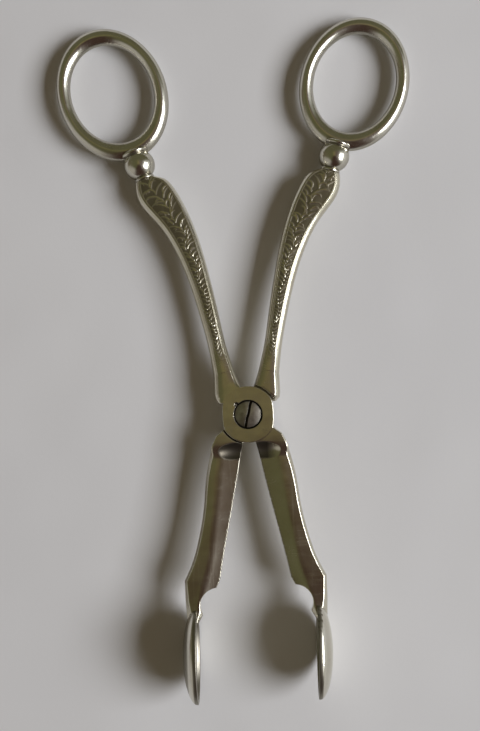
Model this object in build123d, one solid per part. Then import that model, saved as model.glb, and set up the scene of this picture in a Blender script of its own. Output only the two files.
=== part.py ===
"""Scissor-action ice tongs: two crossed halves that turn on one slotted screw.

Frame: the origin is on the pivot axis at the back face of the joint, +Z runs along the
pivot axis out of the face with the screw head, +Y points to the finger rings and +X to the
right. All lengths are in millimetres and all angles in degrees.

The two halves are the same set of pieces. The upper half has its finger ring on the left and
its bowl on the right, and the lower half is the upper one turned over about the tongs' long
axis. Each function below makes a piece of the upper half.
"""
from build123d import *
from math import atan2, cos, degrees, radians, sin, sqrt
import os

# Joint
JOINT_T = 5.0                 # both laps together
MID_Z = JOINT_T / 2           # the halves' common middle plane
LAP_GAP = 0.04                # running gap between the two laps
LAP_R = 7.3                   # radius of the lap discs
LAP_FLAT = 6.6                # flats on the laps' two sides, from the pivot
SHOULDER_R = 7.7              # radius of the shoulders round the other half's lap

# Pivot screw
HEAD_R = 3.55
HEAD_EDGE = 0.8               # height of the head's rim
HEAD_DOME = 0.45              # crown above the rim
RECESS_R = 3.75
RECESS_DEPTH = 1.3
SLOT_WIDTH = 0.75
SLOT_DEPTH = 0.7
SLOT_TURN = -15               # slot direction from +Y
SHANK_R = 2.0
SHANK_RUNNING_GAP = 0.05      # radial, in the upper lap
THREAD_R = 1.8
THREAD_GAP = 0.01             # radial, in the lower lap
SHANK_END_Z = 0.0             # the end is flush with the back face

# Finger rings
RING_CENTRE = (31.45, 84.4)   # outward from the long axis, and along it
RING_TILT = 18                # long axis of the oval, leaning outward
RING_OUTER = (17.6, 14.1)     # half length and half width
WIRE_RADIAL = 3.3
WIRE_HEIGHT = 4.0

# Ball knops between ring and handle
KNOP_CENTRE = (25.3, 65.9)
KNOP_R = 4.0
SEAT_R = 2.5                  # collar against the handle
SEAT_AT = 4.1                 # its face, below the ball's centre
BEAD_R = 3.55                 # bead between ball and ring
BEAD_FROM = 2.8               # start and end of the bead above the ball's centre
BEAD_TO = 3.9
BEAD_ROUND = 0.45

# Handles: outward and lengthwise place of the centre line, its lean outward,
# half the width and half the thickness, up to the end that meets the knop
HANDLE_STATIONS = (
    (5.9, 11.0, 11, 2.70, 2.40),
    (7.2, 17.5, 11, 2.30, 2.15),
    (8.7, 25.0, 12, 2.40, 2.05),
    (11.0, 35.0, 15, 2.75, 2.05),
    (14.1, 45.0, 21, 3.45, 2.10),
    (17.3, 51.9, 29, 4.20, 2.20),
    (20.6, 57.0, 36, 4.80, 2.25),
    (22.7, 60.0, 31, 4.25, 2.20),
)
HANDLE_END = (2.75, 2.10)     # half width and half thickness at the knop
PANEL_SHARE = 0.72            # part of the width under the engraved crown
EDGE_SHARE = 0.68             # thickness at the crown's edge, as a part of the whole

# Bolster: the flared end of each blade between handle and lap
BOLSTER_FOOT = ((8.6, 5.4), (8.4, 4.1), (7.4, 3.1), (5.0, 3.0), (1.6, 6.6))
BOLSTER_CHAMFER = 0.5
SEAM_CLEAR = 1.0              # edges that come this near the handle's seam stay sharp
TANG = (2.4, 2.2, 9.0)        # width, thickness and length, inside the handle
TANG_GAP = 0.05

# Jaw arms: lengthwise place, then outward place of the toothed edge, the ridge,
# the edge of the upper face and the widest line at the middle plane
JAW_STATIONS = (
    (-9.0, 2.2, 7.2, 9.1, 10.1),
    (-16.0, 3.5, 8.3, 10.9, 11.7),
    (-24.0, 5.2, 9.3, 12.0, 12.7),
    (-32.0, 7.0, 10.5, 13.7, 14.4),
    (-38.0, 8.3, 11.5, 15.6, 16.3),
    (-42.6, 9.2, 12.9, 17.8, 18.5),
)
NECK_STATIONS = (
    (-48.0, 12.0, 14.4, 17.5, 18.5),
    (-53.5, 15.2, 15.7, 16.6, 18.25),
)
EDGE_HALF = 1.0               # half thickness of the toothed edge
RIDGE_HALF = 1.75
FACE_HALF = 1.6
CHEEK_OUTER = ((6.3, -3.5), (8.5, -5.2), (9.7, -7.4), (10.3, -10.5))
CHEEK_INNER = ((2.6, -10.5), (1.5, -6.8), (0.0, -4.0))
GROOVE_R = 4.0                # round groove across the arm's root, between cheek and blade
GROOVE_Y = -11.0
GROOVE_HALF = 1.1             # half thickness left under the groove
NOTCH_CENTRE = (10.0, -49.3)
NOTCH_R = 4.7
TOOTH_PITCH = 1.7
TOOTH_DEPTH = 0.3
TOOTH_ROW = (-20.0, -43.6)    # lengthwise, first and last tooth

# Bowls: an oval dish on edge, with a short straight rim and a domed back
RIGHT_BOWL = (15.3, 1.3)      # outward place of the rim's plane, and its lean towards the axis
LEFT_BOWL = (15.85, -1.3)
BOWL_Y = -62.3                # lengthwise place
BOWL_HALF_LENGTH = 12.5
BOWL_HALF_WIDTH = 8.2
BOWL_RIM = 0.7                # straight part of the rim
BOWL_DEPTH = 3.95             # from the rim's plane to the back
BOWL_WALL = 1.25

OVERSHOOT = 1                 # how far a cutting bar stands past the face that it cuts
PLUG_OVERLAP = 0.01           # how far a filling plug goes into the wall round it


def unit(lean):
    """Direction in the tongs' plane of a line that leans outward from +Y, on the left side."""
    return Vector(-sin(radians(lean)), cos(radians(lean)), 0)


def slab(points, z_from, z_to, left=False):
    """A flat plate of a closed outline given as outward and lengthwise places."""
    side = -1 if left else 1
    outline = Polyline(*[(side * x, y, z_from) for x, y in points], close=True)
    return extrude(make_face(outline), amount=z_to - z_from, dir=(0, 0, 1))


def drum(radius, z_from, z_to):
    """A round bar on the pivot axis."""
    place = Pos(0, 0, z_from)
    return place * Cylinder(radius, z_to - z_from, align=(Align.CENTER, Align.CENTER, Align.MIN))


def finger_ring():
    half_long = RING_OUTER[0] - WIRE_RADIAL / 2
    half_wide = RING_OUTER[1] - WIRE_RADIAL / 2
    path = Edge.make_ellipse(half_wide, half_long, Plane.XY, start_angle=0, end_angle=360)
    start = Plane(origin=path @ 0, x_dir=(1, 0, 0), z_dir=path % 0)
    wire = sweep(start * Ellipse(WIRE_RADIAL / 2, WIRE_HEIGHT / 2), path=path)
    return Pos(-RING_CENTRE[0], RING_CENTRE[1], MID_Z) * Rot(0, 0, RING_TILT) * wire


def knop_place():
    """The ball's centre, with z along the line to the ring's centre."""
    reach = (RING_CENTRE[0] - KNOP_CENTRE[0], RING_CENTRE[1] - KNOP_CENTRE[1])
    direction = Vector(-reach[0], reach[1], 0).normalized()
    centre = (-KNOP_CENTRE[0], KNOP_CENTRE[1], MID_Z)
    return Plane(origin=centre, x_dir=(0, 0, 1), z_dir=direction)


def ball_knop(ring):
    low = (Align.CENTER, Align.CENTER, Align.MIN)
    seat = Pos(0, 0, -SEAT_AT) * Cylinder(SEAT_R, SEAT_AT, align=low)
    bead = Pos(0, 0, BEAD_FROM) * Cylinder(BEAD_R, BEAD_TO - BEAD_FROM, align=low)
    bead = fillet(bead.edges(), radius=BEAD_ROUND)
    body = Sphere(KNOP_R) + seat + bead
    return knop_place().location * body - ring


def handle_section(station):
    """A crowned oval: shallow arcs above and below, and a tight arc round each edge."""
    x, y, lean, half_width, half_thick = station
    across = half_width * PANEL_SHARE
    edge = half_thick * EDGE_SHARE
    top = ThreePointArc((-across, edge), (0, half_thick), (across, edge))
    right = ThreePointArc((across, edge), (half_width, 0), (across, -edge))
    bottom = ThreePointArc((across, -edge), (0, -half_thick), (-across, -edge))
    left = ThreePointArc((-across, -edge), (-half_width, 0), (-across, edge))
    face = make_face(top + right + bottom + left)
    direction = unit(lean)
    sideways = Vector(direction.Y, -direction.X, 0)
    return Plane(origin=(-x, y, MID_Z), x_dir=sideways, z_dir=direction) * face


def tang(gap):
    """The blade's tang, or with a gap the pocket for it in the handle."""
    x, y, lean, _, _ = HANDLE_STATIONS[0]
    width, thick, length = TANG
    bar = Box(width + 2 * gap, thick + 2 * gap, length + gap,
              align=(Align.CENTER, Align.CENTER, Align.MIN))
    direction = unit(lean)
    sideways = Vector(direction.Y, -direction.X, 0)
    return Plane(origin=(-x, y, MID_Z), x_dir=sideways, z_dir=direction).location * bar


def handle_end():
    """The last section, on the face of the knop's collar."""
    place = knop_place()
    centre = place.origin - place.z_dir * SEAT_AT
    lean = degrees(atan2(-place.z_dir.X, place.z_dir.Y))
    return (-centre.X, centre.Y, lean, *HANDLE_END)


def handle():
    stations = (*HANDLE_STATIONS, handle_end())
    body = loft([handle_section(station) for station in stations])
    return body - tang(TANG_GAP)


def bolster():
    """Full-thickness foot of the handle, from the lap's edge to the seam with the handle."""
    x, y, lean, half_width, half_thick = HANDLE_STATIONS[0]
    seam_x = half_width * cos(radians(lean))
    seam_y = half_width * sin(radians(lean))
    outer = (x + seam_x, y - seam_y)
    inner = (x - seam_x, y + seam_y)
    plate = slab((outer, *BOLSTER_FOOT, inner), MID_Z - half_thick, MID_Z + half_thick, left=True)
    flat_edges = plate.edges().filter_by(Axis.Z, reverse=True)
    rim = [e for e in flat_edges if e.center().Y < inner[1] - SEAM_CLEAR]
    return chamfer(rim, length=BOLSTER_CHAMFER)


def lap():
    """Upper lap: a disc with a flat on each side."""
    disc = drum(LAP_R, MID_Z + LAP_GAP / 2, JOINT_T)
    flats = Pos(0, 0, MID_Z) * Box(2 * LAP_FLAT, 4 * LAP_R, 2 * JOINT_T)
    return disc & flats


def jaw_section(station):
    y, edge_x, ridge_x, face_x, widest_x = station
    upper = [(edge_x, EDGE_HALF), (ridge_x, RIDGE_HALF), (face_x, FACE_HALF)]
    lower = [(x, -z) for x, z in reversed(upper)]
    points = [(x, y, MID_Z + z) for x, z in (*upper, (widest_x, 0), *lower)]
    return make_face(Polyline(*points, close=True))


def tooth_cuts():
    """Small round gashes square to the toothed edge."""
    first, last = JAW_STATIONS[1], JAW_STATIONS[-1]
    slope = (last[1] - first[1]) / (last[0] - first[0])
    count = int((TOOTH_ROW[0] - TOOTH_ROW[1]) / TOOTH_PITCH) + 1
    cuts = []
    for i in range(count):
        y = TOOTH_ROW[0] - i * TOOTH_PITCH
        x = first[1] + slope * (y - first[0])
        cuts.append(Pos(x - TOOTH_DEPTH, y, MID_Z) * Cylinder(2 * TOOTH_DEPTH, JOINT_T))
    return cuts


def jaw_arm():
    arm = loft([jaw_section(station) for station in JAW_STATIONS])
    neck = (JAW_STATIONS[-1], *NECK_STATIONS)
    arm += loft([jaw_section(station) for station in neck], ruled=True)
    notch = Pos(*NOTCH_CENTRE, MID_Z) * Cylinder(NOTCH_R, JOINT_T)
    return arm - notch - tooth_cuts()


def cheek():
    """Full-thickness foot of the jaw arm."""
    return slab((*CHEEK_OUTER, *CHEEK_INNER), 0, JOINT_T)


def grooves():
    """The round groove across the arm's root, on both faces."""
    bar = Rot(0, 90, 0) * Cylinder(GROOVE_R, 4 * LAP_R)
    rise = GROOVE_HALF + GROOVE_R
    return [Pos(LAP_R, GROOVE_Y, MID_Z + side * rise) * bar for side in (-1, 1)]


def jaw():
    """Blade piece: tang and bolster on the left, lap at the pivot, jaw arm on the right."""
    other_lap = drum(SHOULDER_R, -OVERSHOOT, MID_Z + LAP_GAP / 2)
    hole = drum(SHANK_R + SHANK_RUNNING_GAP, -OVERSHOOT, JOINT_T + OVERSHOOT)
    recess = drum(RECESS_R, JOINT_T - RECESS_DEPTH, JOINT_T + OVERSHOOT)
    arm = cheek() + jaw_arm() - grooves()
    body = bolster() + arm - other_lap + lap() + tang(0)
    return body - hole - recess


def ellipsoid(depth, half_length, half_width):
    return scale(Sphere(1).solid(), by=(depth, half_length, half_width))


def bowl(out, lean):
    """An oval dish on edge, hollow towards the other bowl."""
    oval = Plane.YZ * Ellipse(BOWL_HALF_LENGTH, BOWL_HALF_WIDTH)
    spread = 1 / sqrt(1 - (BOWL_RIM / BOWL_DEPTH) ** 2)
    back = ellipsoid(BOWL_DEPTH, spread * BOWL_HALF_LENGTH, spread * BOWL_HALF_WIDTH)
    hollow = ellipsoid(BOWL_DEPTH - BOWL_WALL, BOWL_HALF_LENGTH - BOWL_WALL,
                       BOWL_HALF_WIDTH - BOWL_WALL)
    body = extrude(oval, amount=2 * BOWL_DEPTH) & back
    return Pos(out, BOWL_Y, MID_Z) * Rot(0, 0, -lean) * (body - hollow)


def turned_over(piece):
    """The same piece of the lower half."""
    return piece.rotate(Axis((0, 0, MID_Z), (0, 1, 0)), 180)


def pivot_screw():
    """Slotted screw: head in the upper lap's recess, end in the lower lap."""
    floor = JOINT_T - RECESS_DEPTH
    top = floor + HEAD_EDGE
    dome_r = (HEAD_R ** 2 + HEAD_DOME ** 2) / (2 * HEAD_DOME)
    cap = Pos(0, 0, top + HEAD_DOME - dome_r) * Sphere(dome_r)
    head = drum(HEAD_R, floor, top + HEAD_DOME) & (cap + drum(HEAD_R, floor, top))
    slot = Pos(0, 0, top + HEAD_DOME) * Rot(0, 0, SLOT_TURN) * Box(
        SLOT_WIDTH, 3 * HEAD_R, 2 * SLOT_DEPTH)
    shank = drum(SHANK_R, MID_Z, floor)
    thread = drum(THREAD_R, SHANK_END_Z, MID_Z)
    return head - slot + shank + thread


def lower_jaw(upper):
    """The lower blade piece has the tapped hole instead of the recess."""
    plug = turned_over(drum(RECESS_R + PLUG_OVERLAP, MID_Z + LAP_GAP / 2, JOINT_T))
    tapped = drum(THREAD_R + THREAD_GAP, -OVERSHOOT, JOINT_T)
    return turned_over(upper) + plug - tapped


def write(name, shape):
    shape.label = name
    export_step(shape, f"parts/{name}.step")


def main():
    os.makedirs("parts", exist_ok=True)
    ring = finger_ring()
    knop = ball_knop(ring)
    grip = handle()
    blade = jaw()
    write("left_finger_ring", ring)
    write("left_ball_knop", knop)
    write("left_handle", grip)
    write("right_jaw", blade)
    write("right_bowl", bowl(*RIGHT_BOWL) - blade)
    write("right_finger_ring", turned_over(ring))
    write("right_ball_knop", turned_over(knop))
    write("right_handle", turned_over(grip))
    write("left_jaw", lower_jaw(blade))
    write("left_bowl", turned_over(bowl(*LEFT_BOWL) - blade))
    write("pivot_screw", pivot_screw())


main()
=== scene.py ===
from math import atan2, cos, degrees, hypot, pi, radians, sin

import bpy
import numpy as np
from mathutils import Matrix, Vector
from mathutils.kdtree import KDTree


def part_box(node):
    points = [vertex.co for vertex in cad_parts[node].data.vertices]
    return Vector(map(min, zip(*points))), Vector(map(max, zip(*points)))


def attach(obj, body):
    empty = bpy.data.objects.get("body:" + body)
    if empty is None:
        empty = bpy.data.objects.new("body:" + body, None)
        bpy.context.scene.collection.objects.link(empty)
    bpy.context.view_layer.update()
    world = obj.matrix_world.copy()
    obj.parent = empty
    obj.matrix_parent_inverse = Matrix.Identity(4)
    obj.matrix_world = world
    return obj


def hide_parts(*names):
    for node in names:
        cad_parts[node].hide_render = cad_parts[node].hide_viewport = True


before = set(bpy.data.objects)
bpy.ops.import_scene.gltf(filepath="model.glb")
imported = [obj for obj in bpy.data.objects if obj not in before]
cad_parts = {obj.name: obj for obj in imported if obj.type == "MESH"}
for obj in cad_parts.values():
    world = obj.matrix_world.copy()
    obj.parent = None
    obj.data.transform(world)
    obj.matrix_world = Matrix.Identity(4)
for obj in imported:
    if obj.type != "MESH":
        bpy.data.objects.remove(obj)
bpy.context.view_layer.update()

MM = 0.001

# ---------------------------------------------------------------- the frame's own sizes, in mm
JOINT_T = (Vector(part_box("right_jaw")[1]) / MM).z    # both laps together; the back is at z = 0
MID = JOINT_T / 2                       # the halves turn over about this middle plane

# The joint: two laps, the screw's head in its recess, and its shank and thread in their holes
LAP_GAP = 0.04
LAP_R, LAP_FLAT, SHOULDER_R = 7.3, 6.6, 7.7
HEAD_R, RECESS_R, RECESS_DEPTH = 3.55, 3.70, 1.3
HEAD_TOP = JOINT_T - 0.05
HEAD_CROWN = 0.45                       # how far the head's dome rises
SLOT_TURN, SLOT_HALF, SLOT_DEPTH = -15, 0.29, 0.95
NICK_CENTRE, NICK_R = (-2.85, 2.65), 0.55    # a small nick in the rim of the recess
SHANK_R, HOLE_R, THREAD_R, TAPPED_R = 2.0, 2.05, 1.8, 1.81

RING_CENTRE = (31.45, 84.4)
RING_TILT = 18
RING_OUTER = (17.6, 14.1)
RING_INNER = (12.95, 10.6)
RING_INNER_SHIFT = 0.25                 # the wire is thinner at the top
RING_HALF_HIGH = (2.0, 1.95)            # half height of the wire at the knop and at the top
KNOP_CENTRE = (25.3, 65.9)

# Along the handle: x, y, lean in degrees, half width and half thickness
HANDLE_STATIONS = (
    (5.9, 11.0, 11, 2.70, 2.40),
    (7.2, 17.5, 11, 2.30, 2.15),
    (8.7, 25.0, 12, 2.40, 2.05),
    (11.0, 35.0, 15, 2.75, 2.05),
    (14.1, 45.0, 21, 3.45, 2.10),
    (17.3, 51.9, 29, 4.20, 2.20),
    (20.6, 57.0, 36, 4.80, 2.25),
    (22.7, 60.0, 31, 4.25, 2.20),
)
HANDLE_END = (2.75, 2.10)               # half width and half thickness at the knop
SEAT_AT = 4.1                           # from the ball's centre to the handle's end
TANG_HALF, TANG_LONG = (1.2, 1.1), 9.0    # the jaw's tang, in the handle's pocket

BOLSTER_FOOT = ((8.6, 5.4), (8.4, 4.1), (7.4, 3.1), (5.0, 3.0), (1.6, 6.6))
CHEEK_OUTER = ((6.3, -3.5), (8.5, -5.2), (9.6, -7.4), (10.1, -9.0), (9.6, -11.5))
CHEEK_INNER = ((2.8, -11.5), (1.5, -6.8), (0.0, -4.0))
CHEEK_BREAK, CHEEK_FALL = -8.3, 0.42    # past this y the cheek's top falls, by this slope
SCOOP_CENTRE, SCOOP_HALF = (3.2, -9.9, 4.2), (6.2, 3.1, 3.5)    # heights from the middle plane
# Along the arm: y, then x of the toothed edge, the ridge, the bevel's start and the outer side
JAW_STATIONS = (
    (-9.0, 2.2, 7.2, 9.1, 10.1),
    (-16.0, 3.5, 8.3, 10.9, 11.7),
    (-24.0, 5.2, 9.3, 12.0, 12.7),
    (-32.0, 7.0, 10.5, 13.7, 14.4),
    (-38.0, 8.3, 11.5, 15.6, 16.3),
    (-42.6, 9.2, 12.9, 17.8, 18.5),
)
NECK_STATIONS = (
    JAW_STATIONS[-1],
    (-48.0, 12.0, 14.4, 17.5, 18.5),
    (-53.5, 15.2, 15.7, 16.6, 18.25),
)
EDGE_HALF, RIDGE_HALF, FACE_HALF = 0.98, 1.75, 1.6    # half thickness at the first three
NOTCH_CENTRE, NOTCH_R = (10.0, -49.3), 4.7
RIGHT_BOWL = (15.3, -62.3, 1.3)         # centre, and lean in degrees
LEFT_BOWL = (15.85, -62.3, -1.3)
BOWL_HALF = (12.5, 8.2)                 # half length and half width of the oval
BOWL_RIM, BOWL_DEPTH, BOWL_WALL = 0.7, 3.95, 1.25


# ---------------------------------------------------------------- numbers and fields
def spline(stations, at):
    """Natural cubic spline through rows of (place, value, value...), read at places."""
    rows = np.array(sorted(stations), float)
    x, y = rows[:, 0], rows[:, 1:]
    n = len(x)
    h = np.diff(x)
    a = np.zeros((n, n))
    b = np.zeros((n, y.shape[1]))
    a[0, 0] = a[-1, -1] = 1
    for i in range(1, n - 1):
        a[i, i - 1:i + 2] = h[i - 1], 2 * (h[i - 1] + h[i]), h[i]
        b[i] = 6 * ((y[i + 1] - y[i]) / h[i] - (y[i] - y[i - 1]) / h[i - 1])
    m = np.linalg.solve(a, b)
    at = np.asarray(at, float)
    k = np.clip(np.searchsorted(x, at) - 1, 0, n - 2)
    t = (at - x[k])[..., None]
    hk = h[k][..., None]
    slope = (y[k + 1] - y[k]) / hk - hk * (2 * m[k] + m[k + 1]) / 6
    out = y[k] + slope * t + m[k] / 2 * t ** 2 + (m[k + 1] - m[k]) / (6 * hk) * t ** 3
    return np.moveaxis(out, -1, 0)


def smax(a, b, r):
    """The larger of two fields: a shape cut by another, with the edge rounded over about r."""
    return np.maximum(a, b) + np.maximum(r - np.abs(a - b), 0) ** 2 / (4 * r)


def smin(a, b, r):
    """The smaller of two fields: two shapes joined, with a fillet of about r."""
    return np.minimum(a, b) - np.maximum(r - np.abs(a - b), 0) ** 2 / (4 * r)


def rounded(outline, height, r):
    """A plate of an outline and a height, with the edge between them rounded by r."""
    a, b = outline + r, height + r
    corner = np.hypot(np.maximum(a, 0), np.maximum(b, 0))
    return np.minimum(np.maximum(a, b), 0) + corner - r


def polygon(x, y, points):
    """Signed distance to a closed outline."""
    shape = np.broadcast_shapes(np.shape(x), np.shape(y))
    nearest = np.full(shape, 1e9)
    inside = np.zeros(shape, bool)
    for (x0, y0), (x1, y1) in zip(points, points[1:] + points[:1]):
        ex, ey = x1 - x0, y1 - y0
        wx, wy = x - x0, y - y0
        t = np.clip((wx * ex + wy * ey) / (ex * ex + ey * ey), 0, 1)
        nearest = np.minimum(nearest, (wx - t * ex) ** 2 + (wy - t * ey) ** 2)
        if ey:
            inside ^= ((y0 <= y) != (y1 <= y)) & (x < x0 + wy * ex / ey)
    return np.where(inside, -1, 1) * np.sqrt(nearest)


def nets(field, low, high, step):
    """Points and quads of a field's zero surface, one point in each crossed cell."""
    axes = [np.arange(a, b + step, step) for a, b in zip(low, high)]
    grid = np.broadcast_to(field(axes[0][:, None, None], axes[1][None, :, None],
                                 axes[2][None, None, :]), [len(a) for a in axes])
    inside = grid < 0
    size = np.array(grid.shape)
    quads, marks = [], []
    for axis in range(3):
        unit = np.eye(3, dtype=int)[axis]
        second, third = np.eye(3, dtype=int)[(axis + 1) % 3], np.eye(3, dtype=int)[(axis + 2) % 3]
        first = [slice(None)] * 3
        other = [slice(None)] * 3
        first[axis], other[axis] = slice(None, -1), slice(1, None)
        at = np.argwhere(inside[tuple(first)] != inside[tuple(other)])
        f0 = grid[tuple(at.T)]
        f1 = grid[tuple((at + unit).T)]
        point = at + (f0 / (f0 - f1))[:, None] * unit
        cells = np.stack([at, at - second, at - second - third, at - third], 1)
        outward = f0 < 0
        cells[~outward] = cells[~outward][:, ::-1]
        quads.append(cells)
        marks.append(np.repeat(point[:, None], 4, 1))
    quads = np.concatenate(quads)
    marks = np.concatenate(marks).reshape(-1, 3)
    flat = (quads @ np.array([size[1] * size[2], size[2], 1])).ravel()
    _, index = np.unique(flat, return_inverse=True)
    index = index.ravel()
    count = np.bincount(index)
    points = np.stack([np.bincount(index, marks[:, k]) / count for k in range(3)], 1)
    points = np.array(low) + points * step
    for _ in range(2):
        points = onto(points, field, step)
    return points, index.reshape(-1, 4)


def onto(points, field, step):
    """Moves points towards a field's zero surface, by at most a third of a cell."""
    tiny = 0.02
    x, y, z = points.T
    value = field(x, y, z)
    slope = np.stack([
        field(x + tiny, y, z) - field(x - tiny, y, z),
        field(x, y + tiny, z) - field(x, y - tiny, z),
        field(x, y, z + tiny) - field(x, y, z - tiny)], 1) / (2 * tiny)
    move = -(value / np.maximum((slope ** 2).sum(1), 0.05))[:, None] * slope
    reach = np.linalg.norm(move, axis=1, keepdims=True)
    return points + move * np.minimum(1, step / 3 / np.maximum(reach, 1e-9))


def grid_faces(rows, columns, wrap_rows):
    """Quads between rows of points, each row a closed loop."""
    r = np.arange(rows if wrap_rows else rows - 1)[:, None]
    c = np.arange(columns)[None, :]
    r1, c1 = (r + 1) % rows, (c + 1) % columns
    return np.stack([r * columns + c, r * columns + c1, r1 * columns + c1, r1 * columns + c],
                    -1).reshape(-1, 4)


def turned_over(points):
    """The same points on the other half: turned half a turn about the long axis."""
    return points * (-1, 1, -1) + (0, 0, 2 * MID)


def make_piece(name, points, faces, body, node, material, marks=None):
    """A smooth mesh piece from points in mm; marks are numbers kept on its points."""
    mesh = bpy.data.meshes.new(name)
    faces = [list(map(int, f)) for f in faces]
    mesh.from_pydata((np.asarray(points) * MM).tolist(), [], faces)
    mesh.update()
    mesh.shade_smooth()
    mesh.polygons.foreach_set("use_smooth", [len(f) < 5 for f in faces])
    for key, values in (marks or {}).items():
        layer = mesh.attributes.new(key, "FLOAT", "POINT")
        layer.data.foreach_set("value", np.asarray(values, np.float32))
    piece = bpy.data.objects.new(name, mesh)
    bpy.context.scene.collection.objects.link(piece)
    mesh.materials.append(material)
    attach(piece, body)
    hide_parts(node)
    return piece


# ---------------------------------------------------------------- shapes of the upper half
def ring():
    """A finger ring: wire that is thickest at the knop, on an oval path."""
    around, section = 480, 72
    phi = np.linspace(0, 2 * pi, around, endpoint=False)[:, None]
    v = np.linspace(0, 2 * pi, section, endpoint=False)[None, :]
    outer = np.stack([RING_OUTER[1] * np.cos(phi), RING_OUTER[0] * np.sin(phi)], -1)
    inner = np.stack([RING_INNER[1] * np.cos(phi), RING_INNER[0] * np.sin(phi)], -1)
    inner[..., 1] += RING_INNER_SHIFT
    middle, reach = (outer + inner) / 2, (outer - inner) / 2
    low, high = RING_HALF_HIGH
    tall = low + (high - low) * (0.5 + 0.5 * np.sin(phi))
    sharpen = 1.17                      # the wire's section is drawn in towards a crest
    c, d = np.cos(v), np.sin(v)
    flat = middle + reach * (np.sign(c) * np.abs(c) ** sharpen)[..., None]
    z = MID + tall * np.sign(d) * np.abs(d) ** sharpen
    lean = radians(RING_TILT)
    x = flat[..., 0] * cos(lean) - flat[..., 1] * sin(lean) - RING_CENTRE[0]
    y = flat[..., 0] * sin(lean) + flat[..., 1] * cos(lean) + RING_CENTRE[1]
    return np.stack([x, y, z], -1).reshape(-1, 3), grid_faces(around, section, True)[:, ::-1]


def smooth_profile(rows, count):
    """A finely divided line through profile points, even along its length."""
    rows = np.array(rows, float)
    along = np.concatenate([[0], np.cumsum(np.hypot(*np.diff(rows, axis=0).T))])
    at = np.linspace(0, along[-1], count)
    return np.stack([np.interp(at, along, rows[:, 0]), np.interp(at, along, rows[:, 1])], 1)


KNOP_R = 4.0


def knop_line():
    """Profile of the knop as (place along its axis, radius): collar, ball and bead."""
    foot, collar_end = -4.1, -3.62
    bend = np.linspace(0, pi / 2, 5)[1:]
    line = [(foot, 0.0), (foot, 2.3)]
    line += [(foot + 0.2 * (1 - cos(a)), 2.3 + 0.25 * sin(a)) for a in bend]
    line += [(collar_end, 2.55)]
    line += [(collar_end + 0.2 * sin(a), 2.55 - 0.25 * (1 - cos(a))) for a in bend]
    start, end = radians(148), radians(46)
    line += [(KNOP_R * cos(a), KNOP_R * sin(a)) for a in np.linspace(start, end, 60)]
    line += [(2.85, 2.83)]
    line += [(3.35 - 0.5 * cos(a), 3.05 + 0.5 * sin(a)) for a in np.linspace(0.1, pi, 14)]
    line += [(3.9, 2.6), (3.9, 0.0)]
    return line


def knop():
    """Collar, ball and bead, turned about the line from the ball to the ring's centre."""
    around = 120
    line = smooth_profile(knop_line(), 130)
    line[0, 1] = line[-1, 1] = 0.02
    reach = Vector((KNOP_CENTRE[0] - RING_CENTRE[0], RING_CENTRE[1] - KNOP_CENTRE[1], 0))
    axis = np.array(reach.normalized())
    side = np.array((axis[1], -axis[0], 0.0))
    up = np.array((0.0, 0.0, 1.0))
    v = np.linspace(0, 2 * pi, around, endpoint=False)
    spokes = np.cos(v)[:, None] * side + np.sin(v)[:, None] * up
    centre = np.array((-KNOP_CENTRE[0], KNOP_CENTRE[1], MID))
    points = centre + line[:, 0][:, None, None] * axis + line[:, 1][:, None, None] * spokes
    faces = [tuple(f) for f in grid_faces(len(line), around, False)]
    last = (len(line) - 1) * around
    faces += [tuple(range(around))[::-1], tuple(range(last, last + around))]
    return points.reshape(-1, 3), [f[::-1] for f in faces]


# The handle's engraved panel is laid out flat: along is mm from the seam, across is mm from
# the handle's middle.
PANEL_FROM, PANEL_TO = 3.0, 57.2
OUTER_BEVEL, INNER_BEVEL = 1.25, 0.85   # wider on the side away from the other handle
GROUND_DEPTH = 0.07                     # how far the engraving's ground lies below the crown


def handle_frame(count):
    """Middle line of the handle and its sections, evenly spaced: places, leans, sizes."""
    reach = (RING_CENTRE[0] - KNOP_CENTRE[0], RING_CENTRE[1] - KNOP_CENTRE[1])
    length = hypot(*reach)
    end_x = KNOP_CENTRE[0] - reach[0] / length * SEAT_AT
    end_y = KNOP_CENTRE[1] - reach[1] / length * SEAT_AT
    stations = HANDLE_STATIONS + ((end_x, end_y, degrees(atan2(*reach)), *HANDLE_END),)
    rows = np.array(stations, float)
    knots = np.concatenate([[0], np.cumsum(np.hypot(*np.diff(rows[:, :2], axis=0).T))])
    table = [(k, *row) for k, row in zip(knots, rows)]
    along = np.linspace(0, knots[-1], count)
    return (along, *spline(table, along))


def quarter(half_width, half_thick, wanted_bevel, panel_steps, edge_steps):
    """Section from the crown's middle to the side, as (across, height) rows, and the bevel."""
    bevel = np.minimum(wanted_bevel, 0.65 * half_width)
    crown = 0.16
    s = np.linspace(0, 1, panel_steps + 1)[:, None]
    flat = (half_width - bevel) * s
    top = half_thick - crown * s ** 2
    t = np.linspace(0, 1, edge_steps + 1)
    steep = np.interp(t, (0, 0.45, 0.6, 0.85, 1), (0.75, 0.75, 1.3, 2.2, 6))
    fallen = np.concatenate([[0], np.cumsum((steep[1:] + steep[:-1]) / 2)])
    fallen = (fallen / fallen[-1])[1:, None]
    side = half_width - bevel * (1 - t[1:, None])
    drop = (half_thick - crown) * (1 - fallen)
    return np.concatenate([flat, side]), np.concatenate([top, drop]), bevel


def stroke(points, width, height):
    """A raised line: points (along, across), its half width, and its height."""
    return [(p[0], p[1], w, h) for p, w, h in zip(points, width, height)]


def arc(centre, start, sweep, radius, width, height, count=22):
    """A crescent stroke round a centre, thin at both ends."""
    t = np.linspace(0, 1, count)
    a = start + sweep * t
    points = np.stack([centre[0] + radius * np.cos(a), centre[1] + radius * np.sin(a)], 1)
    swell = np.sin(pi * (0.08 + 0.84 * t)) ** 0.7
    return stroke(points, width * swell, height * swell)


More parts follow.
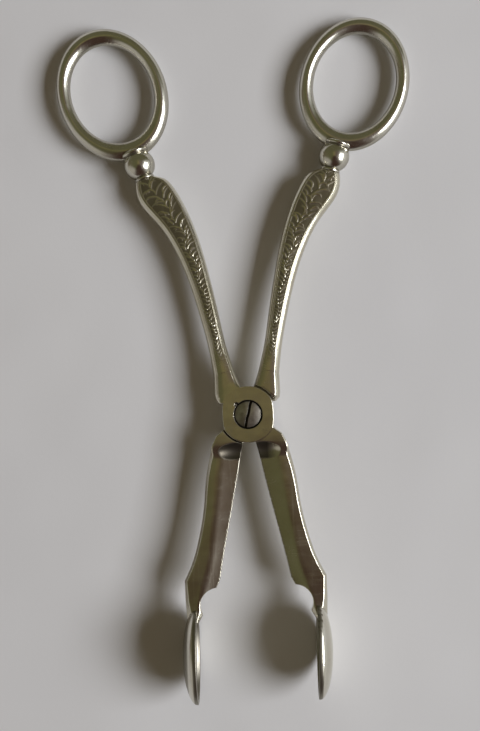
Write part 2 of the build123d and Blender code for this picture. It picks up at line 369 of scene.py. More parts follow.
def leaf(root, direction, bend, length, width, height, count=14):
    """A comma-shaped stroke, widest near its root."""
    t = np.linspace(0, 1, count)
    a = direction + bend * t
    step = length / count
    points = np.cumsum(np.stack([np.cos(a), np.sin(a)], 1) * step, 0) + root
    swell = 0.35 + 0.65 * np.sin(pi * (0.25 + 0.75 * t))
    return stroke(points, width * swell, height * (1 - 0.5 * t))


def scrollwork(half_at, seed):
    """Generic foliage: feathery leaves that curl off a winding stem, and a few small scrolls."""
    draw = np.random.default_rng(seed)
    lines = []
    along, hand = PANEL_FROM + 0.8, 1
    while along < PANEL_TO - 1.0:
        half = float(half_at(along))
        stem = 0.3 * half * sin(0.7 * along)
        width = 0.12 + 0.03 * half
        for side in (-1, 1):
            room = half - side * stem
            root = (along - 0.3 * half, stem + side * 0.1 * half)
            lines += leaf(root, side * draw.uniform(0.1, 0.7), side * draw.uniform(0.7, 1.9),
                          draw.uniform(0.8, 1.35) * room, width, draw.uniform(0.06, 0.12))
        if half > 1.7:
            place = (along + 0.4 * half, stem + hand * 0.45 * half)
            lines += arc(place, hand * draw.uniform(-2.4, -1.8), hand * 3.0, 0.32 * half,
                         width, 0.10)
            hand = -hand
        along += draw.uniform(0.45, 0.65) + 0.28 * half
    return np.array(lines)


def engraved(along, across, half, seed):
    """Height of the engraving over the plain crown, and how dark its ground is."""
    row_half = half[:, 0]
    lines = scrollwork(lambda at: np.interp(at, along[:, 0], row_half), seed)
    tree = KDTree(len(lines))
    for i, (a, c, _, _) in enumerate(lines):
        tree.insert((a, c, 0), i)
    tree.balance()
    raised = np.zeros(across.shape)
    inside = (along > PANEL_FROM - 1) & (along < PANEL_TO + 1) & (np.abs(across) < half - 0.05)
    for i, j in np.argwhere(inside):
        best = 0.0
        for _, k, far in tree.find_n((along[i, j], across[i, j], 0), 3):
            width, height = lines[k, 2:]
            if far < width * 1.6:
                best = max(best, height * max(0.0, 1 - (far / (1.6 * width)) ** 2))
        raised[i, j] = best
    end_low = np.clip((along - PANEL_FROM + 1) / 5, 0, 1)
    end_high = np.clip((PANEL_TO - along) / 1.2, 0, 1)
    margin = np.clip((half - 0.30 - np.abs(across)) / 0.25, 0, 1)
    field = end_low * end_high * margin
    height = field * (raised - GROUND_DEPTH)
    border = np.abs(half - 0.12 - np.abs(across))
    rim = end_low * np.clip(1 - border / 0.16, 0, 1)
    height -= GROUND_DEPTH * rim ** 2 * (along < PANEL_TO + 2)
    dark = np.clip(field * (1 - raised / GROUND_DEPTH), 0, 1) + 0.8 * rim
    return height, np.clip(dark, 0, 1)


def handle():
    """A crowned, bevelled grip with scrollwork in relief on both faces."""
    rows = 440
    panel_steps, edge_steps = 33, 14
    along, x, y, lean, half_width, half_thick = handle_frame(rows)
    sizes = half_width[None, :], half_thick[None, :]
    inner, inner_top, inner_bevel = quarter(*sizes, INNER_BEVEL, panel_steps, edge_steps)
    outer, outer_top, outer_bevel = quarter(*sizes, OUTER_BEVEL, panel_steps, edge_steps)
    inner, inner_top, outer, outer_top = inner.T, inner_top.T, outer.T, outer_top.T
    shift = (outer_bevel - inner_bevel).T / 2
    panel = half_width - (outer_bevel + inner_bevel).ravel() / 2
    tip = np.clip((along - PANEL_TO + 3.6) / 3.6, 0, 0.985)
    panel_shown = panel * np.sqrt(1 - tip ** 2)
    across = np.concatenate([inner, inner[:, -2::-1], -outer[:, 1:], -outer[:, -2:0:-1]], 1)
    height = np.concatenate([inner_top, -inner_top[:, -2::-1], -outer_top[:, 1:],
                             outer_top[:, -2:0:-1]], 1)
    columns = across.shape[1]
    relief = np.zeros(across.shape)
    dark = np.zeros(across.shape)
    steps = np.arange(columns)
    last = 2 * inner.shape[1] - 2
    from_top = np.minimum(steps, columns - steps)
    faces_up = from_top <= panel_steps
    faces_down = (last - from_top) <= panel_steps
    for chosen, seed in ((faces_up, 11), (faces_down, 23)):
        a = np.repeat(along[:, None], chosen.sum(), 1)
        half = np.repeat(panel_shown[:, None], chosen.sum(), 1)
        up, ground = engraved(a, across[:, chosen] - shift, half, seed)
        relief[:, chosen], dark[:, chosen] = up, ground
    height = height + np.sign(height) * relief
    lean = np.radians(lean)[:, None]
    px = -x[:, None] + across * np.cos(lean)
    py = y[:, None] + across * np.sin(lean)
    points = np.stack([px, py, MID + height], -1).reshape(-1, 3)
    faces = [tuple(f) for f in grid_faces(rows, columns, False)]
    end = (rows - 1) * columns
    faces += [tuple(range(columns))[::-1], tuple(range(end, end + columns))]
    return points, faces, dark.ravel()


def seam_corners():
    """The two corners of the bolster where it meets the handle."""
    x, y, lean, half_width, _ = HANDLE_STATIONS[0]
    dx, dy = half_width * cos(radians(lean)), half_width * sin(radians(lean))
    return (x + dx, y - dy), (x - dx, y + dy)


def arm_field(x, y, z):
    """Jaw arm: a hollow-ground blade with a ridge, a flatter back and a bevelled outer edge."""
    past = np.maximum(y - JAW_STATIONS[0][0], 0)
    at = np.clip(y, JAW_STATIONS[-1][0], JAW_STATIONS[0][0] + 2)
    blade_line = spline(JAW_STATIONS, at)
    neck = np.array(NECK_STATIONS[::-1], float).T
    edge, ridge, face, widest = (np.where(y < JAW_STATIONS[-1][0], np.interp(y, neck[0], row), line)
                                 for row, line in zip(neck[1:], blade_line))
    up = np.abs(z - MID)
    rise = (RIDGE_HALF - EDGE_HALF) / (ridge - edge)
    share = np.clip((x - edge) / (ridge - edge), 0, 1)
    hollow = 0.05 * 4 * share * (1 - share)
    blade = (up - EDGE_HALF - rise * (x - edge) + hollow) / np.sqrt(1 + rise ** 2)
    fall = (RIDGE_HALF - FACE_HALF) / (face - ridge)
    back = (up - RIDGE_HALF + fall * (x - ridge)) / np.sqrt(1 + fall ** 2)
    steep = FACE_HALF / (widest - face)
    bevel = (up - FACE_HALF + steep * (x - face)) / np.sqrt(1 + steep ** 2)
    body = smax(smax(blade, back, 0.3), bevel + 0.5 * past, 0.16)
    body = smax(body, x - widest + 0.05, 0.1)
    body = smax(body, edge - x, 0.12)
    body = np.maximum(body, np.maximum(past - 2.5, NECK_STATIONS[-1][0] - y))
    notch = NOTCH_R - np.hypot(x - NOTCH_CENTRE[0], y - NOTCH_CENTRE[1])
    return smax(body, notch, 0.12), edge, bevel


TOOTH_PITCH, TOOTH_DEPTH = 0.95, 0.28
TEETH = (-15.5, -43.8)                  # y of the first tooth, and where they end


def teeth_field(x, y, edge):
    """Small gashes across the toothed edge, uneven in depth."""
    number = np.round((y - TEETH[0]) / TOOTH_PITCH)
    off = np.abs(y - TEETH[0] - number * TOOTH_PITCH)
    depth = TOOTH_DEPTH * (0.75 + 0.35 * np.sin(number * 2.4))
    gash = (x - edge - depth + 1.1 * off) / 1.49
    return np.where((y > TEETH[0] + 0.4) | (y < TEETH[1]), 1.0, gash)


def bevelled_height(inward, across):
    """Half height of the grip's section, from the distance in from its outline."""
    half_width, half_thick = HANDLE_STATIONS[0][3:]
    heights = []
    for wanted in (OUTER_BEVEL, INNER_BEVEL):
        wide, tall, _ = quarter(half_width, half_thick, wanted, 20, 30)
        heights.append(np.interp(inward, (half_width - wide.ravel())[::-1], tall.ravel()[::-1]))
    share = np.clip(0.5 + across, 0, 1)
    return heights[0] + share * (heights[1] - heights[0])


def scoop_field(x, y, z):
    """The hollow that's filed across the arm's root, deepest at the inner side."""
    middle_x, middle_y, middle_up = SCOOP_CENTRE
    return -ellipsoid(x - middle_x, y - middle_y, np.abs(z - MID) - middle_up, *SCOOP_HALF)


def blade_field(recessed):
    """Bolster, lap and jaw arm of the upper half, as one piece."""
    outer, inner = seam_corners()
    seam_x, seam_y, lean = HANDLE_STATIONS[0][:3]
    ahead = (-sin(radians(lean)), cos(radians(lean)))
    foot = [(-px, py) for px, py in (outer, *BOLSTER_FOOT, inner)]
    past = 6.0
    foot += [(-inner[0] + ahead[0] * past, inner[1] + ahead[1] * past),
             (-outer[0] + ahead[0] * past, outer[1] + ahead[1] * past)]
    cheek_line = list(CHEEK_OUTER + CHEEK_INNER)
    hole_r = HOLE_R if recessed else TAPPED_R

    def field(x, y, z):
        up = np.abs(z - MID)
        rho = np.hypot(x, y)
        line = polygon(x, y, foot)
        off_seam = (x + seam_x) * ahead[0] + (y - seam_y) * ahead[1]
        along_seam = (x + seam_x) * ahead[1] - (y - seam_y) * ahead[0]
        tucked = 0.5 * np.maximum(off_seam, 0) ** 2
        shaped = bevelled_height(-line, along_seam)
        flat = np.where(z > MID, np.clip((9.6 - rho) / 2.4, 0, 1), 0.0)
        flat = flat * flat * (3 - 2 * flat)
        height = shaped + flat * (MID - shaped) - tucked
        bolster = smax(0.72 * (up - height), line + 0.02 + tucked, 0.10)
        bolster = np.maximum(bolster, off_seam - 0.4)
        disc = smax(rho - LAP_R, np.abs(x) - LAP_FLAT, 0.9)
        lap = rounded(disc, np.maximum(z - JOINT_T, MID + LAP_GAP / 2 - z), 0.14)
        arm, edge, bevel = arm_field(x, y, z)
        below = CHEEK_BREAK - y
        top = MID - CHEEK_FALL * (below + np.sqrt(below ** 2 + 0.5)) / 2
        cheek = rounded(polygon(x, y, cheek_line), up - top, 0.38)
        cheek = smax(cheek, bevel - 0.5 * np.maximum(y + 11.0, 0), 0.5)
        scoop = scoop_field(x, y, z)
        low = smax(smin(arm, cheek, 0.4), scoop, 0.2)
        body = np.minimum(bolster, low)
        other = np.minimum(SHOULDER_R - rho, MID + LAP_GAP / 2 - z)
        body = smax(body, other, 0.10)
        body = np.minimum(body, lap)
        body = smax(body, -teeth_field(x, y, edge), 0.08)
        tang = np.maximum(np.abs(along_seam) - TANG_HALF[0], up - TANG_HALF[1])
        tang = np.maximum(tang, np.maximum(off_seam - TANG_LONG, -off_seam - 1))
        body = np.minimum(body, tang)
        body = smax(body, hole_r - rho, 0.05)
        if recessed:
            off_nick = np.hypot(x - NICK_CENTRE[0], y - NICK_CENTRE[1])
            nick = NICK_R - np.hypot(off_nick, 0.7 * (z - JOINT_T))
            recess = np.minimum(RECESS_R - rho, z - (JOINT_T - RECESS_DEPTH))
            body = smax(body, smax(recess, nick, 0.03), 0.03)
        return body

    return field


def ellipsoid(x, y, z, depth, length, width):
    """Nearly the distance to an ellipsoid's surface."""
    near = np.sqrt((x / depth) ** 2 + (y / length) ** 2 + (z / width) ** 2)
    slope = np.sqrt((x / depth ** 2) ** 2 + (y / length ** 2) ** 2 + (z / width ** 2) ** 2)
    return near * (near - 1) / np.maximum(slope, 1e-6)


def in_bowl(x, y, z, place):
    """Depth behind a bowl's rim, and the place along and across it."""
    turn = radians(place[2])
    dx, dy = x - place[0], y - place[1]
    return dx * cos(turn) - dy * sin(turn), dx * sin(turn) + dy * cos(turn), z - MID


def bowl_field(x, y, z, place):
    """An oval dish on edge, hollow towards the other bowl, with a rounded rim."""
    u, v, w = in_bowl(x, y, z, place)
    spread = 1 / np.sqrt(1 - (BOWL_RIM / BOWL_DEPTH) ** 2)
    long, wide = BOWL_HALF
    oval = ellipsoid(0 * u, v, w, 1.0, long, wide)
    back = ellipsoid(np.maximum(u, 0), v, w, BOWL_DEPTH, spread * long, spread * wide)
    hollow = ellipsoid(u, v, w, BOWL_DEPTH - BOWL_WALL, long - BOWL_WALL, wide - BOWL_WALL)
    body = smax(smax(oval, back, 0.3), -u, 0.22)
    return smax(body, -hollow, 0.3)


def head_cap(x, y, z):
    """Signed distance to the low dome of the screw's head."""
    dome_r = (HEAD_R ** 2 + HEAD_CROWN ** 2) / (2 * HEAD_CROWN)
    return np.hypot(np.hypot(x, y), z - HEAD_TOP + dome_r) - dome_r


def slot_side(x, y):
    """Signed distance to the sides of the screw's worn slot."""
    turn = radians(SLOT_TURN)
    across = x * cos(turn) + y * sin(turn)
    lengthwise = -x * sin(turn) + y * cos(turn)
    ragged = 0.05 * np.sin(1.9 * lengthwise + 0.4)
    return np.abs(across - ragged) - SLOT_HALF - 0.02 * lengthwise ** 2 / 12


def screw_field(x, y, z):
    """Slotted head with a low crown, on its shank."""
    rho = np.hypot(x, y)
    floor = JOINT_T - RECESS_DEPTH
    head = rounded(rho - HEAD_R, np.maximum(head_cap(x, y, z), floor - z), 0.30)
    slot = np.maximum(slot_side(x, y), HEAD_TOP - SLOT_DEPTH - z)
    head = smax(head, -slot, 0.03)
    shank = np.maximum(rho - SHANK_R, np.maximum(z - floor - 0.2, MID - z))
    thread = np.maximum(rho - THREAD_R, np.maximum(z - MID - 0.1, 0.02 - z))
    return np.minimum(head, np.minimum(shank, thread))


# ---------------------------------------------------------------- materials
class Nodes:
    """Short calls for building one material."""

    def __init__(self, name):
        self.material = bpy.data.materials.new(name)
        self.material.use_nodes = True
        self.tree = self.material.node_tree
        self.tree.nodes.clear()
        self.out = self.tree.nodes.new("ShaderNodeOutputMaterial")
        self.shader = self.tree.nodes.new("ShaderNodeBsdfPrincipled")
        self.tree.links.new(self.shader.outputs[0], self.out.inputs[0])
        self.place = self.tree.nodes.new("ShaderNodeTexCoord").outputs["Object"]

    def link(self, value, socket):
        if isinstance(value, bpy.types.NodeSocket):
            self.tree.links.new(value, socket)
        else:
            socket.default_value = value

    def node(self, kind, settings=None, **inputs):
        node = self.tree.nodes.new(kind)
        for key, value in (settings or {}).items():
            setattr(node, key, value)
        for key, value in inputs.items():
            self.link(value, node.inputs[key.replace("_", " ")])
        return node

    def math(self, operation, a, b=0.0, c=0.0, clamp=False):
        node = self.tree.nodes.new("ShaderNodeMath")
        node.operation = operation
        node.use_clamp = clamp
        for value, socket in zip((a, b, c), node.inputs):
            self.link(value, socket)
        return node.outputs[0]

    def mapping(self, scale=(1, 1, 1), rotation=(0, 0, 0), location=(0, 0, 0)):
        node = self.tree.nodes.new("ShaderNodeMapping")
        self.link(self.place, node.inputs["Vector"])
        node.inputs["Scale"].default_value = scale
        node.inputs["Rotation"].default_value = rotation
        node.inputs["Location"].default_value = location
        return node.outputs[0]

    def noise(self, scale, detail=4, rough=0.55, vector=None, distort=0.0):
        node = self.tree.nodes.new("ShaderNodeTexNoise")
        self.link(self.place if vector is None else vector, node.inputs["Vector"])
        node.inputs["Scale"].default_value = scale
        node.inputs["Detail"].default_value = detail
        node.inputs["Roughness"].default_value = rough
        node.inputs["Distortion"].default_value = distort
        return node.outputs["Fac"]

    def ramp(self, value, *stops):
        """Values or colours at places of a 0 to 1 input."""
        node = self.tree.nodes.new("ShaderNodeValToRGB")
        marks = node.color_ramp.elements
        while len(marks) < len(stops):
            marks.new(0.5)
        for mark, (at, colour) in zip(marks, stops):
            mark.position = at
            colour = (colour,) * 3 if isinstance(colour, (int, float)) else colour
            mark.color = (*colour, 1)
        self.link(value, node.inputs[0])
        return node.outputs[0]

    def mix(self, amount, a, b):
        node = self.tree.nodes.new("ShaderNodeMix")
        node.data_type = "RGBA"
        self.link(amount, node.inputs[0])
        for value, socket in ((a, node.inputs[6]), (b, node.inputs[7])):
            self.link(value if isinstance(value, bpy.types.NodeSocket) else (*value, 1), socket)
        return node.outputs[2]

    def bump(self, height, strength, distance, under=None):
        node = self.tree.nodes.new("ShaderNodeBump")
        node.inputs["Strength"].default_value = strength
        node.inputs["Distance"].default_value = distance
        self.link(height, node.inputs["Height"])
        if under is not None:
            self.link(under, node.inputs["Normal"])
        return node.outputs[0]


def scratches(n, scale, stretch, turn, thin):
    """Fine hairlines in one direction: 1 on a line and 0 off it."""
    vector = n.mapping(scale=stretch, rotation=(0, 0, radians(turn)))
    lines = n.noise(scale, detail=2, vector=vector, distort=0.3)
    return n.ramp(lines, (0.5 - thin, 0), (0.5, 1), (0.5 + thin, 0))


def hollows(n, reach):
    """How much a point lies in a corner or groove, where tarnish stays."""
    node = n.tree.nodes.new("ShaderNodeAmbientOcclusion")
    node.inputs["Distance"].default_value = reach
    node.samples = 6
    return n.math("SUBTRACT", 1.0, node.outputs["AO"], clamp=True)


def metal(name, clean, worn, tarnish, rough, cloud_scale=90, tarnish_share=0.5, wave=0.25,
          brush=None):
    """Plated or bare metal: clouded tint, hairlines, dints and smears, dark tarnish in the
    hollows, and the painted shade and real stains that a piece's own "cut" marks put on it."""
    n = Nodes(name)
    n.shader.inputs["Metallic"].default_value = 1.0
    clouds = n.noise(cloud_scale, detail=6, rough=0.6)
    patches = n.noise(cloud_scale * 4.5, detail=5, rough=0.7)
    tint = n.mix(n.ramp(clouds, (0.35, 0), (0.65, 1)), clean, worn)
    corner = n.math("MULTIPLY", hollows(n, 0.0012), 1.6, clamp=True)
    speck = n.ramp(patches, (0.58, 0), (0.72, 1))
    tarnish_and_shade = n.math("MAXIMUM", n.math("MULTIPLY", corner, tarnish_share),
                   n.math("MULTIPLY", speck, 0.35 * tarnish_share), clamp=True)
    # The pieces' "cut" marks carry painted shade as well as real stains and tarnish.
    cut = n.tree.nodes.new("ShaderNodeAttribute")
    cut.attribute_name = "cut"
    tarnish_and_shade = n.math("MAXIMUM", tarnish_and_shade, n.math("MULTIPLY", cut.outputs["Fac"], 0.92), clamp=True)
    n.link(n.mix(tarnish_and_shade, tint, tarnish), n.shader.inputs["Base Color"])
    fine = scratches(n, 240, (1, 0.04, 1), 31, 0.012)
    cross = scratches(n, 310, (0.05, 1, 1), -19, 0.010)
    hair = n.math("MAXIMUM", fine, cross)
    smear = n.noise(160, detail=5, rough=0.65)
    value = n.math("MULTIPLY_ADD", smear, 0.16, rough - 0.08)
    value = n.math("MULTIPLY_ADD", hair, 0.05, value)
    value = n.math("MULTIPLY_ADD", tarnish_and_shade, 0.26, value, clamp=True)
    n.link(value, n.shader.inputs["Roughness"])
    dints = n.noise(420, detail=3)
    normal = n.bump(dints, 0.10 * wave, 0.0006)
    broad = n.noise(110, detail=2)
    normal = n.bump(broad, wave, 0.0007, normal)
    normal = n.bump(hair, 0.02, 0.00003, normal)
    if brush:
        grain = n.noise(1100, detail=2, vector=n.mapping(scale=brush))
        normal = n.bump(grain, 0.10, 0.00005, normal)
    n.link(normal, n.shader.inputs["Normal"])
    return n.material


# The tarnish colours also carry the painted shade that the pieces' "cut" marks put on them.
SILVER = metal("silver_plate_worn", (0.74, 0.715, 0.63), (0.66, 0.63, 0.53), (0.10, 0.085, 0.055),
               0.19)
ENGRAVED = metal("engraved_silver_plate", (0.72, 0.69, 0.58), (0.63, 0.59, 0.46),
                 (0.17, 0.145, 0.09), 0.22)
NICKEL = metal("nickel_silver_blade", (0.71, 0.68, 0.57), (0.63, 0.59, 0.47),
               (0.035, 0.026, 0.018), 0.20, brush=(1, 0.12, 1), wave=0.15, tarnish_share=0.4)
STEEL = metal("screw_steel", (0.52, 0.50, 0.44), (0.30, 0.27, 0.22), (0.03, 0.024, 0.018), 0.34,
              cloud_scale=420, tarnish_share=0.8, wave=0.5)


def paper_material():
    """White paper with a fine grain and faint folds."""
    n = Nodes("paper")
    fibre = n.noise(900, detail=6, rough=0.7)
    cloud = n.noise(9, detail=3)
    tint = n.mix(n.ramp(cloud, (0.3, 0), (0.7, 1)), (0.775, 0.775, 0.785), (0.80, 0.798, 0.80))
    n.link(tint, n.shader.inputs["Base Color"])
    n.shader.inputs["Roughness"].default_value = 0.85
    n.shader.inputs["Specular IOR Level"].default_value = 0.25
    fold = n.noise(14, detail=2)
    normal = n.bump(fibre, 0.25, 0.00008)
    n.link(n.bump(fold, 0.35, 0.004, normal), n.shader.inputs["Normal"])
    return n.material


# ---------------------------------------------------------------- the pieces
def both(shape, upper_name, lower_name, material):
    """A piece of the upper half, and the same piece turned over on the lower half."""
    points, faces, cut = shape
    marks = {"cut": cut}
    for name, body, place in ((upper_name, "upper_half", points),
                              (lower_name, "lower_half", turned_over(points))):
        make_piece(name + "_look", place, faces, body, name, material, marks)


def side_painted_shade(shape, half_high, most):
    """The shape with painted shade along its sides, strongest at the middle plane, which dims
    the reflections there; the top and back are left bright.
    """
    points, faces = shape
    return points, faces, most * np.clip(1.5 - 2.2 * np.abs(points[:, 2] - MID) / half_high, 0, 1)


# Painted shade along the sides of the rings and the knops.
both(side_painted_shade(ring(), RING_HALF_HIGH[0], 0.55), "left_finger_ring", "right_finger_ring",
     SILVER)
both(side_painted_shade(knop(), KNOP_R, 0.5), "left_ball_knop", "right_ball_knop",
     SILVER)
both(handle(), "left_handle", "right_handle", ENGRAVED)

STEP = 0.142    # mm; it keeps a jaw below 200k triangles
NET_MARGIN = Vector((0.4, 0.4, 0.4))


def netted(field, node, room=(0, 0, 0), step=STEP):
    """The surface nets of a field in a CAD node's box, with some room round it."""
    low, high = (Vector(corner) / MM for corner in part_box(node))
    room = Vector(room)
    return nets(field, low - room - NET_MARGIN, high + room + NET_MARGIN, step)


upper_blade = blade_field(recessed=True)
plain_blade = blade_field(recessed=False)


def painted_shade_marks(points, recessed):
    """Painted shade round the other lap, in the recess, in the teeth's gashes and in the scoop,
    and a darker strip along the toothed edge.
    """
    x, y, z = points.T
    rho = np.hypot(x, y)
    # Painted shade in the crevice round the other lap, and on the upper half in the screw's recess
    # and nick.
    gap = (rho > LAP_R + 0.05) & (rho < SHOULDER_R + 0.12) & (z < MID) & (z > 0.15)
    if recessed:
        nick = np.hypot(x - NICK_CENTRE[0], y - NICK_CENTRE[1]) < NICK_R + 0.05
        gap |= ((rho < RECESS_R + 0.10) | nick) & (z > MID)
    edge = arm_field(x, y, z)[1]
    # Painted shade in the gashes of the teeth.
    teeth = 0.9 * np.clip(1 - teeth_field(x, y, edge) / 0.15, 0, 1)
    # Darker along the toothed edge, below the cheek.
    strip = 0.45 * np.clip(1.6 - 4 * (x - edge), 0, 1) * (y < TEETH[0] + 5)
    # Painted shade in the scoop, standing in for its dark reflections; on the upper half only
    # towards its inner side.
    scoop = 0.95 * np.clip(1.2 - 5 * np.abs(scoop_field(x, y, z)), 0, 1)
    if recessed:
        scoop = scoop * np.clip((7.0 - x) / 2.5, 0, 1)
    return {"cut": np.maximum(np.maximum(gap, teeth), np.maximum(strip, scoop))}


points, faces = netted(upper_blade, "right_jaw")
make_piece("right_jaw_look", points, faces, "upper_half", "right_jaw", NICKEL,
           painted_shade_marks(points, True))
points, faces = netted(plain_blade, "right_jaw")
make_piece("left_jaw_look", turned_over(points), faces, "lower_half", "left_jaw",
           NICKEL, painted_shade_marks(points, False))


def fitted_bowl(place):
    """The bowl with a seat for the neck that it's soldered to."""
    return lambda x, y, z: smax(bowl_field(x, y, z, place), -upper_blade(x, y, z), 0.03)


def bowl_stains_and_shade(points, place, hollow, back, burnt):
    """Painted shade in the hollow and on the back, burnt blotches near the solder, and the dark
    solder seam.
    """
    x, y, z = points.T
    u = in_bowl(x, y, z, place)[0]
    seam = np.clip(1.4 - 4 * np.abs(upper_blade(x, y, z)), 0, 1)
    spots = np.sin(3.1 * x + 2.0 * y) * np.sin(2.7 * y + 1.0) * np.sin(2.9 * z + 0.5)
    spots = np.clip(4 * (np.abs(spots) - 0.25), 0, 1) * np.clip((y + 58.5) / 3, 0, 1) * (u < 1.3)
    # Painted shade in the hollow near the rim and, where asked, on the back.
    hollow_and_back_shade = hollow * np.clip((1.1 - u) / 0.25, 0, 1) + back * np.clip((u - 2.1) / 0.4, 0, 1)
    return {"cut": np.maximum(np.maximum(hollow_and_back_shade, burnt * spots), seam)}


OTHER_SET = (1, 1, 0)                   # room for the left bowl, which sits a little differently
# Each bowl gets painted shade in its hollow, the left bowl's back gets it too, and the right bowl
# has burnt blotches.
points, faces = netted(fitted_bowl(RIGHT_BOWL), "right_bowl", OTHER_SET)
make_piece("right_bowl_look", points, faces, "upper_half", "right_bowl", SILVER,
           bowl_stains_and_shade(points, RIGHT_BOWL, 0.8, 0.0, 0.95))
points, faces = netted(fitted_bowl(LEFT_BOWL), "right_bowl", OTHER_SET)
make_piece("left_bowl_look", turned_over(points), faces, "lower_half", "left_bowl",
           SILVER, bowl_stains_and_shade(points, LEFT_BOWL, 0.75, 0.7, 0.0))

points, faces = netted(screw_field, "pivot_screw", step=STEP * 0.6)
# Painted shade on the head's sides below its dome and in its slot.
shade_below_dome = np.clip((-head_cap(*points.T) - 0.10) / 0.10, 0, 1)
shade_in_slot = np.clip((0.12 - slot_side(*points.T[:2])) / 0.06, 0, 1)
make_piece("pivot_screw_look", points, faces, "lower_half", "pivot_screw", STEEL,
           {"cut": np.maximum(shade_below_dome, shade_in_slot)})

# ---------------------------------------------------------------- floor, light and camera
FLOOR_TILT = 0.03277                    # the deep bowls stand on it, so it slopes in this frame
FLOOR_TOUCH = Vector((0, -62.3, -5.7)) * MM    # the lowest place of the bowls
FLOOR_HALF = 1.6                        # metres
floor_mesh = bpy.data.meshes.new("paper_floor")
corners = [(sx * FLOOR_HALF, sy * FLOOR_HALF) for sx, sy in ((-1, -1), (1, -1), (1, 1), (-1, 1))]
floor_mesh.from_pydata([(x, y, FLOOR_TOUCH.z + FLOOR_TILT * (y - FLOOR_TOUCH.y))
                        for x, y in corners], [], [(0, 1, 2, 3)])
floor = bpy.data.objects.new("paper_floor", floor_mesh)
bpy.context.scene.collection.objects.link(floor)
floor_mesh.materials.append(paper_material())


def soft_light(name, azimuth, elevation, distance, width, height, power, colour):
    """A soft box that faces the joint, from a direction and a distance."""
    a, e = radians(azimuth), radians(elevation)
    data = bpy.data.lights.new(name, "AREA")
    data.shape = "RECTANGLE"
    data.size, data.size_y = width, height
    data.energy = power
    data.color = colour
    light = bpy.data.objects.new(name, data)
    place = Vector((cos(a) * cos(e), sin(a) * cos(e), sin(e))) * distance
    facing = place.to_track_quat("Z", "Y").to_matrix().to_4x4()
    light.matrix_world = Matrix.Translation(place) @ facing
    bpy.context.scene.collection.objects.link(light)


soft_light("window_light", azimuth=-9, elevation=35, distance=2.6, width=1.65, height=1.15,
           power=66, colour=(0.95, 0.96, 1.0))


def ramp_to(tree, value, stops):
    """A colour ramp over an input from -1 to 1."""
    spread = tree.nodes.new("ShaderNodeMapRange")
    spread.inputs["From Min"].default_value = -1.0
    tree.links.new(value, spread.inputs["Value"])
    node = tree.nodes.new("ShaderNodeValToRGB")
    marks = node.color_ramp.elements
    while len(marks) < len(stops):
        marks.new(0.5)
    for mark, (at, colour) in zip(marks, stops):
        mark.position = (at + 1) / 2
        mark.color = (*colour, 1)
    tree.links.new(spread.outputs[0], node.inputs[0])
    return node.outputs[0]


def smooth_step(tree, value, start, end):
    """0 at the start and 1 at the end, with a soft run between."""
    node = tree.nodes.new("ShaderNodeMapRange")
    node.interpolation_type = "SMOOTHSTEP"
    node.inputs["From Min"].default_value = start
    node.inputs["From Max"].default_value = end
    tree.links.new(value, node.inputs["Value"])
    return node.outputs[0]


def mix_of(tree, amount, first, second):
    """The first colour at amount 0 and the second at 1."""
    node = tree.nodes.new("ShaderNodeMix")
    node.data_type = "RGBA"
    tree.links.new(amount, node.inputs[0])
    for value, socket in ((first, node.inputs[6]), (second, node.inputs[7])):
        if isinstance(value, tuple):
            socket.default_value = value
        else:
            tree.links.new(value, socket)
    return node.outputs[2]


BACKDROP = (0.62, 0.62, 0.63, 1)        # what the camera itself sees past the paper
FILL = (0.10, 0.08, 0.05, 1)            # the room as rough surfaces take light from it
DIM_BACK = (0.11, 0.105, 0.06, 1)
PALE_WALL = (0.40, 0.385, 0.36, 1)
DARK_CLOTHES = (0.050, 0.028, 0.021, 1)
# The room's colours by the x of a direction, high up and near the horizon
CEILING = (
    (-1.0, (0.15, 0.14, 0.09)), (-0.60, (0.115, 0.112, 0.06)), (-0.20, (0.112, 0.110, 0.053)),
    (-0.02, (0.225, 0.195, 0.09)), (0.15, (0.155, 0.125, 0.085)), (0.34, (0.125, 0.092, 0.077)),
    (0.52, (0.12, 0.095, 0.080)), (0.72, (0.45, 0.45, 0.44)), (1.0, (0.6, 0.61, 0.61)))
WALLS = (
    (-1.0, (0.12, 0.10, 0.065)), (-0.1, (0.10, 0.082, 0.052)), (0.5, (0.15, 0.135, 0.11)),
    (0.8, (0.45, 0.45, 0.44)), (1.0, (0.5, 0.51, 0.51)))


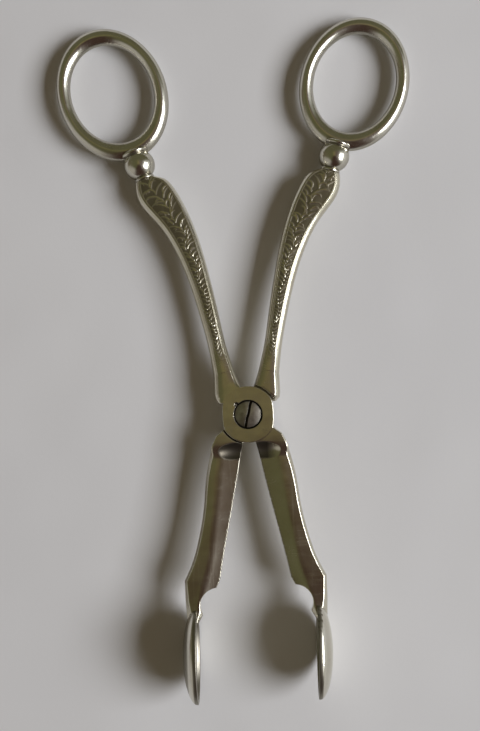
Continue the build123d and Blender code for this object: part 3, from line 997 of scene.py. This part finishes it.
def surroundings():
    """Dim warm room for reflections and fill, plain and pale where the camera sees it."""
    world = bpy.data.worlds.new("studio")
    bpy.context.scene.world = world
    world.use_nodes = True
    tree = world.node_tree
    tree.nodes.clear()
    out = tree.nodes.new("ShaderNodeOutputWorld")
    seen = tree.nodes.new("ShaderNodeBackground")
    seen.inputs["Color"].default_value = BACKDROP
    room = tree.nodes.new("ShaderNodeBackground")
    coord = tree.nodes.new("ShaderNodeTexCoord")
    split = tree.nodes.new("ShaderNodeSeparateXYZ")
    tree.links.new(coord.outputs["Generated"], split.inputs[0])
    ceiling = ramp_to(tree, split.outputs["X"], CEILING)
    walls = ramp_to(tree, split.outputs["X"], WALLS)
    low = smooth_step(tree, split.outputs["Z"], 0.62, 0.05)
    room_colour = mix_of(tree, low, ceiling, walls)

    def math(operation, a, b=0.0):
        node = tree.nodes.new("ShaderNodeMath")
        node.operation = operation
        for value, socket in zip((a, b), node.inputs):
            if isinstance(value, float):
                socket.default_value = value
            else:
                tree.links.new(value, socket)
        return node.outputs[0]

    behind = smooth_step(tree, split.outputs["Y"], 0.25, 0.6)
    room_colour = mix_of(tree, behind, room_colour, DIM_BACK)
    beside = math("ADD", split.outputs["X"], split.outputs["Y"])
    pale = smooth_step(tree, beside, -0.85, -1.25)
    room_colour = mix_of(tree, pale, room_colour, PALE_WALL)

    # Someone who leans over the tongs, wider towards -Y
    below = math("MAXIMUM", math("SUBTRACT", -0.17, split.outputs["Y"]), 0.0)
    wide = math("ADD", math("MULTIPLY", below, 0.55), 0.27)
    aside = math("DIVIDE", math("SUBTRACT", split.outputs["X"], 0.03), wide)
    above = math("DIVIDE", math("MAXIMUM", math("ADD", split.outputs["Y"], 0.20), 0.0), 0.16)
    away = math("SQRT", math("ADD", math("MULTIPLY", aside, aside),
                             math("MULTIPLY", above, above)))
    someone = smooth_step(tree, away, 1.2, 0.4)
    room_colour = mix_of(tree, someone, room_colour, DARK_CLOTHES)

    which = tree.nodes.new("ShaderNodeLightPath")
    room_colour = mix_of(tree, which.outputs["Is Diffuse Ray"], room_colour, FILL)
    tree.links.new(room_colour, room.inputs["Color"])
    choose = tree.nodes.new("ShaderNodeMixShader")
    tree.links.new(which.outputs["Is Camera Ray"], choose.inputs[0])
    tree.links.new(room.outputs[0], choose.inputs[1])
    tree.links.new(seen.outputs[0], choose.inputs[2])
    tree.links.new(choose.outputs[0], out.inputs[0])


surroundings()

VIEW_CENTRE = Vector((-1.56, 12.72, MID)) * MM
VIEW_FROM = Vector((6.0, 10.0, MID)) * MM       # the camera is above this place
VIEW_TURN = -2.6                        # degrees about the line of sight
VIEW_HIGH = 0.19006                     # metres that the frame's long side takes in at the joint
VIEW_DISTANCE = 0.280
SENSOR = 36.0
camera_data = bpy.data.cameras.new("camera")
camera_data.sensor_width = SENSOR
camera_data.lens = SENSOR * VIEW_DISTANCE / VIEW_HIGH
camera_data.clip_start = 0.01
camera = bpy.data.objects.new("camera", camera_data)
turn = Matrix.Rotation(radians(VIEW_TURN), 4, "Z")
aside = turn.inverted() @ (VIEW_CENTRE - VIEW_FROM) / VIEW_HIGH
camera_data.shift_x, camera_data.shift_y = aside.x, aside.y
camera.matrix_world = Matrix.Translation(VIEW_FROM + Vector((0, 0, VIEW_DISTANCE))) @ turn
bpy.context.scene.collection.objects.link(camera)
bpy.context.scene.camera = camera
bpy.context.scene.view_settings.view_transform = "Standard"
